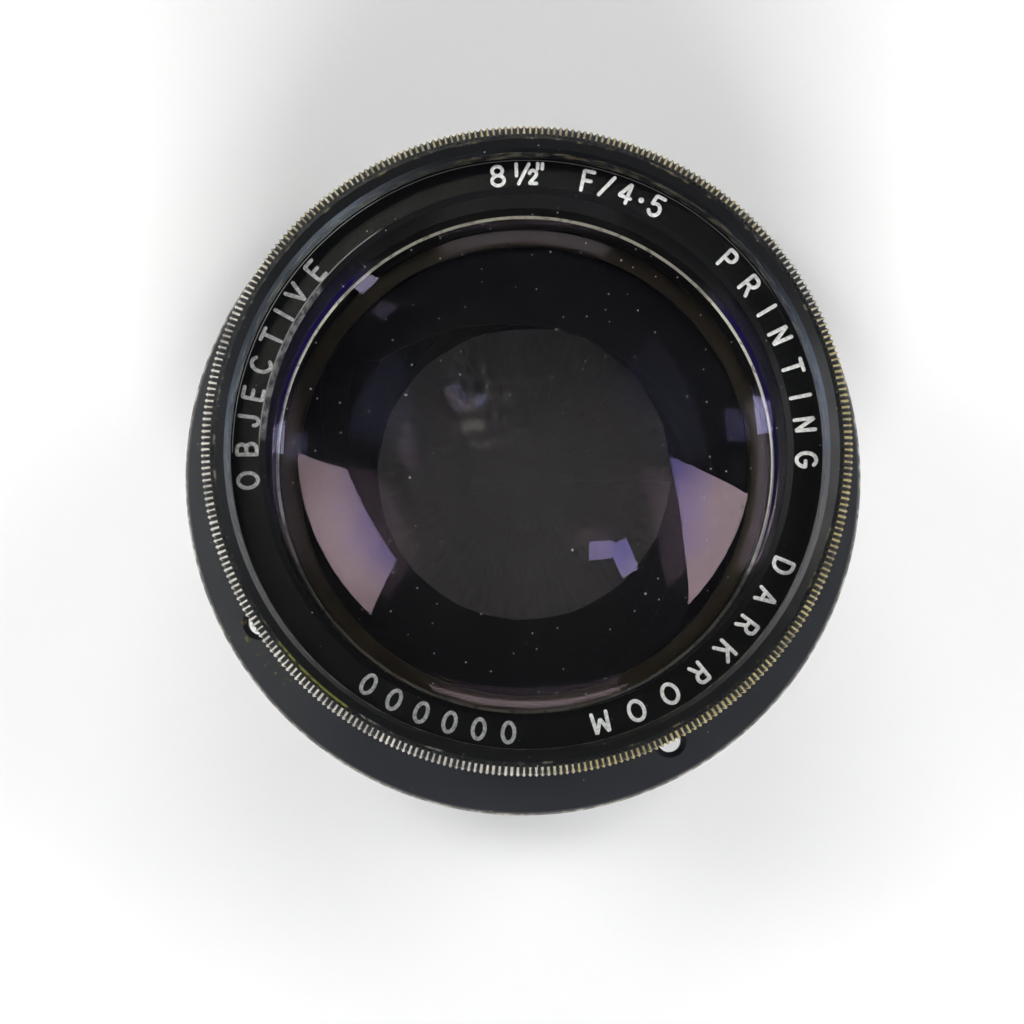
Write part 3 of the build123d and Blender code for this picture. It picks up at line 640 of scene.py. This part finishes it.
LETTER_H = 1.98 * MM
LETTER_STROKE = 0.38 * MM
LETTER_BASE_R = 27.02 * MM
LETTER_MID_R = LETTER_BASE_R + LETTER_H / 2


def on_name_ring(centre):
    """Text that reads clockwise with its top outwards, centred on an angle from +X."""
    def place(u, v, height):
        a = math.radians(centre) - u / LETTER_MID_R
        r = LETTER_BASE_R + v
        return Vector((r * math.cos(a), r * math.sin(a), NAME_Z + height))
    return place


# Words, the angle of their middle, the gap between letters and the paint left in them.
NAME_WORDS = [
    ("F/4.5", 69.8, 0.96 * MM, PAINT),
    ("PRINTING", 21.0, 2.30 * MM, PAINT),
    ("DARKROOM", -49.5, 2.25 * MM, PAINT),
    ("000000", -109.0, 1.80 * MM, OLD_PAINT),
    ("OBJECTIVE", 162.7, 1.85 * MM, OLD_PAINT),
]
FOCUS_ANGLE = 92.3            # middle of the focal length, 8 1/2 inches
FOCUS_PARTS = [               # glyph, its left edge, its foot and its height, as shares of a letter
    ("8", -1.22, 0.00, 0.98), ("1", -0.02, 0.44, 0.60), ("/", 0.15, 0.05, 0.97),
    ("2", 0.70, 0.05, 0.66), ("'", 1.05, 0.05, 1.02), ("'", 1.28, 0.05, 1.02),
]


def make_name_lettering():
    """Two meshes, one for the clean paint and one for the aged."""
    for paint, name in ((PAINT, "name_ring_lettering"), (OLD_PAINT, "name_ring_worn_lettering")):
        mesh = bmesh.new()
        for text, centre, spacing, used in NAME_WORDS:
            if used is paint:
                write(mesh, text, LETTER_H, LETTER_STROKE, spacing, on_name_ring(centre))
        if paint is PAINT:
            for letter, left, foot, tall in FOCUS_PARTS:
                for stroke in GLYPHS[letter]:
                    drawn = [((left + x * tall) * LETTER_H, (foot + y * tall) * LETTER_H)
                             for x, y in fillet_corners(stroke)]
                    stroke_ribbon(mesh, drawn, LETTER_STROKE * 0.92, PAINT_THICK,
                                  on_name_ring(FOCUS_ANGLE))
        finish_mesh(mesh, name, paint, "barrel")


# ---------------------------------------------------------------- aperture scale
SCALE_H = 1.35 * MM
SCALE_STROKE = 0.22 * MM
SCALE_FOOT_Z = RING_TOP_Z - 4.2 * MM
TICK_LOW_Z = RING_TOP_Z - 2.1 * MM
TICK_HIGH_Z = RING_TOP_Z - 0.6 * MM
RING_RATIO = 0.85             # blade angle over ring angle
REST_BLADE = 15.0             # blade angle at rest
STOPS = [("4.5", 0.0), ("5.6", 8.6), ("8", 19.0), ("11", 25.8), ("16", 31.6), ("22", 35.0)]


def around_barrel(centre, radius, foot):
    """Upright text on a cylinder, centred on an angle from +X and read from outside."""
    def place(u, v, height):
        a = math.radians(centre) + u / radius
        r = radius + height
        return Vector((r * math.cos(a), r * math.sin(a), foot + v))
    return place


def make_aperture_scale():
    """Each f-number stands where the index meets it when the blades give that stop."""
    mesh = bmesh.new()
    for text, blade in STOPS:
        centre = 90.0 + (blade - REST_BLADE) / RING_RATIO
        write(mesh, text, SCALE_H, SCALE_STROKE, 0.26 * MM,
              around_barrel(centre, RING_SCALE_R, SCALE_FOOT_Z))
        tick = [(0.0, 0.0), (0.0, TICK_HIGH_Z - TICK_LOW_Z)]
        stroke_ribbon(mesh, tick, SCALE_STROKE, PAINT_THICK,
                      around_barrel(centre, RING_SCALE_R, TICK_LOW_Z))
    finish_mesh(mesh, "aperture_scale", PAINT, "aperture_control")


def make_index_mark():
    """Paint on the floor of the index line that is cut into the collar."""
    mesh = bmesh.new()
    line = [(0.0, 0.0), (0.0, 3.3 * MM)]
    stroke_ribbon(mesh, line, 0.34 * MM, 0.03 * MM,
                  around_barrel(90.0, COLLAR_R - 0.24 * MM, COLLAR_LOW_Z + 0.35 * MM))
    finish_mesh(mesh, "index_mark", PAINT, "barrel")


make_name_lettering()
make_aperture_scale()
make_index_mark()

# ---------------------------------------------------------------- floor, lights and camera
def round_sided(radius, start, end, corners):
    """An outline with one round side, an arc about the optical axis, and straight ones elsewhere."""
    count = 12
    steps = [math.radians(start + (end - start) * k / count) for k in range(count + 1)]
    return [(radius * math.cos(a), radius * math.sin(a)) for a in steps] + corners


def rectangle(middle, long, wide, turn):
    """Corners of a rectangle whose long side is turned from +X by an angle in degrees."""
    spin = Matrix.Rotation(math.radians(turn), 2)
    corners = [(-long, -wide), (long, -wide), (long, wide), (-long, wide)]
    return [tuple(Vector(middle) + spin @ Vector(c) / 2) for c in corners]


def panel(name, outline, strength, colour=(1.0, 0.99, 0.97)):
    """A glowing panel that faces down, with the given outline, a little brighter in its middle."""
    mesh = bmesh.new()
    across, along = zip(*outline)
    middle = Vector((min(across) + max(across), min(along) + max(along), 0)) / 2
    mesh.faces.new([mesh.verts.new((x - middle.x, y - middle.y, 0)) for x, y in outline])
    data = bpy.data.meshes.new(name)
    mesh.to_mesh(data)
    mesh.free()
    made = bpy.data.objects.new(name, data)
    made.location = (middle.x, middle.y, PANEL_Z)
    bpy.context.scene.collection.objects.link(made)
    s = Shader(name + "_glow")
    power = s.ramp(s.radius, 0.0, PANEL_FADE, 1.2 * strength, 0.6 * strength)
    glow = s.node("ShaderNodeEmission", Color=colour, Strength=power)
    s.tree.links.new(glow.outputs[0], s.output.inputs["Surface"])
    data.materials.append(s.material)
    made.visible_camera = False
    return made


def side_light(name, centre, size, power, glossy):
    """A rectangular lamp aimed at the origin, for gloss alone or for everything else."""
    light = bpy.data.lights.new(name, "AREA")
    light.shape = "RECTANGLE"
    light.size, light.size_y = size
    light.energy = power
    lamp = bpy.data.objects.new(name, light)
    lamp.location = centre
    lamp.rotation_mode = "QUATERNION"
    lamp.rotation_quaternion = (-Vector(centre)).to_track_quat("-Z", "Y")
    lamp.visible_glossy = glossy
    lamp.visible_diffuse = not glossy
    bpy.context.scene.collection.objects.link(lamp)


def make_floor():
    """A pale table, wider than any view."""
    mesh = bmesh.new()
    bmesh.ops.create_grid(mesh, x_segments=1, y_segments=1, size=3.0)
    data = bpy.data.meshes.new("floor")
    mesh.to_mesh(data)
    mesh.free()
    floor = bpy.data.objects.new("floor", data)
    floor.location.z = FLOOR_Z
    bpy.context.scene.collection.objects.link(floor)
    s = Shader("pale_table")
    tone = s.blend(s.noise(0.01, 2), (0.86, 0.86, 0.86), (0.89, 0.89, 0.89))
    s.surface(Base_Color=tone, Roughness=0.8)
    data.materials.append(s.material)


CAMERA_PLACE = Vector((-3.7 * MM, -25.9 * MM, RIM_Z + 400 * MM))
CAMERA_TARGET = Vector((-1.5 * MM, -6.2 * MM, RIM_Z))
CAMERA_LENS = 142.7           # focal length, on a sensor 36 mm wide


def make_camera():
    """Almost straight down the axis, from above the rim and a little towards -Y."""
    camera = bpy.data.cameras.new("camera")
    camera.sensor_width = 36.0
    camera.lens = CAMERA_LENS
    camera.clip_start = 0.01
    camera.clip_end = 20.0
    holder = bpy.data.objects.new("camera", camera)
    holder.location = CAMERA_PLACE
    holder.rotation_mode = "QUATERNION"
    look = (CAMERA_TARGET - CAMERA_PLACE).normalized()
    side = look.cross(Vector((0, 1, 0))).normalized()
    up = side.cross(look)
    holder.rotation_quaternion = Matrix((side, up, -look)).transposed().to_quaternion()
    bpy.context.scene.collection.objects.link(holder)
    bpy.context.scene.camera = holder


def make_world():
    """A white studio wall all round, and a dark ceiling."""
    world = bpy.data.worlds.new("studio")
    world.use_nodes = True
    tree = world.node_tree
    back = tree.nodes["Background"]
    back.inputs["Color"].default_value = (0.96, 0.98, 1.0, 1.0)
    split = tree.nodes.new("ShaderNodeSeparateXYZ")
    fade = tree.nodes.new("ShaderNodeMapRange")
    fade.interpolation_type = "SMOOTHSTEP"
    for name, value in (("From Min", 0.05), ("From Max", 0.5), ("To Min", 0.45), ("To Max", 0.02)):
        fade.inputs[name].default_value = value
    place = tree.nodes.new("ShaderNodeTexCoord")
    tree.links.new(place.outputs["Generated"], split.inputs[0])
    tree.links.new(split.outputs["Z"], fade.inputs["Value"])
    tree.links.new(fade.outputs[0], back.inputs["Strength"])
    bpy.context.scene.world = world


PANEL_Z = 1.0                 # level of the glowing panels, in metres
PANEL_FADE = 420.0            # mm from a panel's middle over which its glow halves
SOFTBOXES = [                 # name, round side's radius, start and end, other corners, strength
    ("right", 0.85, 3.0, 48.0, [(0.35, 0.33), (0.50, 0.09)], 9.0),
    ("left", 0.80, 134.0, 166.0, [(-0.34, 0.05), (-0.42, 0.28)], 11.5),
]
LAMPS = [                     # middle, long and wide side, turn, strength and colour
    ((-0.17, 0.275), 0.06, 0.05, 0.0, 90.0, (1.0, 1.0, 0.80)),
    ((-0.235, 0.305), 0.11, 0.05, 118.0, 34.0, (0.90, 0.95, 1.0)),
    ((0.62, -0.60), 0.17, 0.08, -41.0, 90.0, (0.72, 0.85, 1.0)),
    ((1.33, -0.02), 0.55, 0.15, 0.0, 90.0, (0.55, 0.72, 1.0)),
    ((-0.99, -0.11), 0.30, 0.15, 5.0, 60.0, (0.50, 0.65, 1.0)),
]
SIDE_LIGHT_SIZE = (1.1, 0.55)
SIDE_LIGHTS = [                # name, place, power, and whether it lights gloss or flat colour
    ("left", (-1.45, 0.15, 0.75), 32.0, True), ("right", (1.45, 0.15, 0.75), 7.0, True),
    ("near", (0.0, -1.45, 0.75), 36.0, False), ("far", (0.0, 1.45, 0.75), 12.0, False),
]

make_floor()
make_world()
for name, radius, start, end, corners, strength in SOFTBOXES:
    panel("softbox_" + name, round_sided(radius, start, end, corners), strength)
for k, (middle, long, wide, turn, strength, colour) in enumerate(LAMPS):
    lamp = panel("lamp_%d" % k, rectangle(middle, long, wide, turn), strength, colour)
    lamp.visible_diffuse = False
for name, place, power, glossy in SIDE_LIGHTS:
    side_light("side_light_" + name, place, SIDE_LIGHT_SIZE, power, glossy)
make_camera()
bpy.context.scene.view_settings.view_transform = "Standard"
